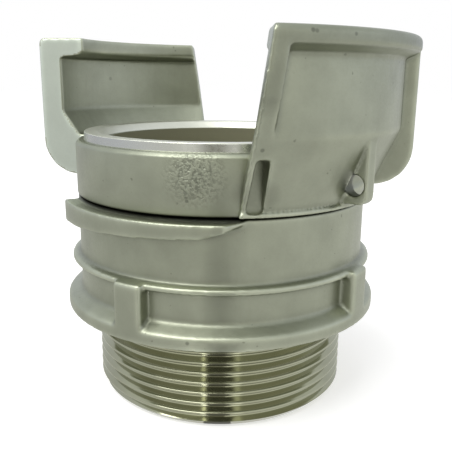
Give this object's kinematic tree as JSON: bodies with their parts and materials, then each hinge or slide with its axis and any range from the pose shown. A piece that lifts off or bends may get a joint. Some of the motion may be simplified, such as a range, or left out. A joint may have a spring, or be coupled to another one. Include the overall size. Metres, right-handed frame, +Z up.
{
  "type": "quarter turn hose coupling",
  "caption": "Quarter turn hose coupling with hooked claws on its head, a turning locking ring with ramps and beads, a seal in its rim and a male pipe thread.",
  "frame": {"origin": "on the coupling's axis, in the flat end of the male thread", "axes": "+Z runs up the waterway from the threaded end to the claws; the claws' fins end 6.8 degrees clockwise of +X and of -X"},
  "size_m": [0.0872, 0.0868, 0.0812],
  "materials": {
    "cast_stainless": "investment cast stainless steel, blasted, with a machined rim and thread",
    "turned_stainless": "investment cast stainless steel, blasted, turned faces",
    "spring_stainless": "bright spring steel",
    "seal_rubber": "smooth black rubber"
  },
  "bodies": {
    "coupling_body": {"body": "cast_stainless", "seal": "seal_rubber", "retaining_ring": "spring_stainless"},
    "ring": {"locking_ring": "turned_stainless"}
  },
  "joints": [
    {"name": "locking_ring_turn", "type": "hinge", "parent": "coupling_body", "child": "ring", "pos_m": [0, 0, 0.0336], "axis": [0, 0, 1], "range_deg": [-90, 0]}
  ]
}
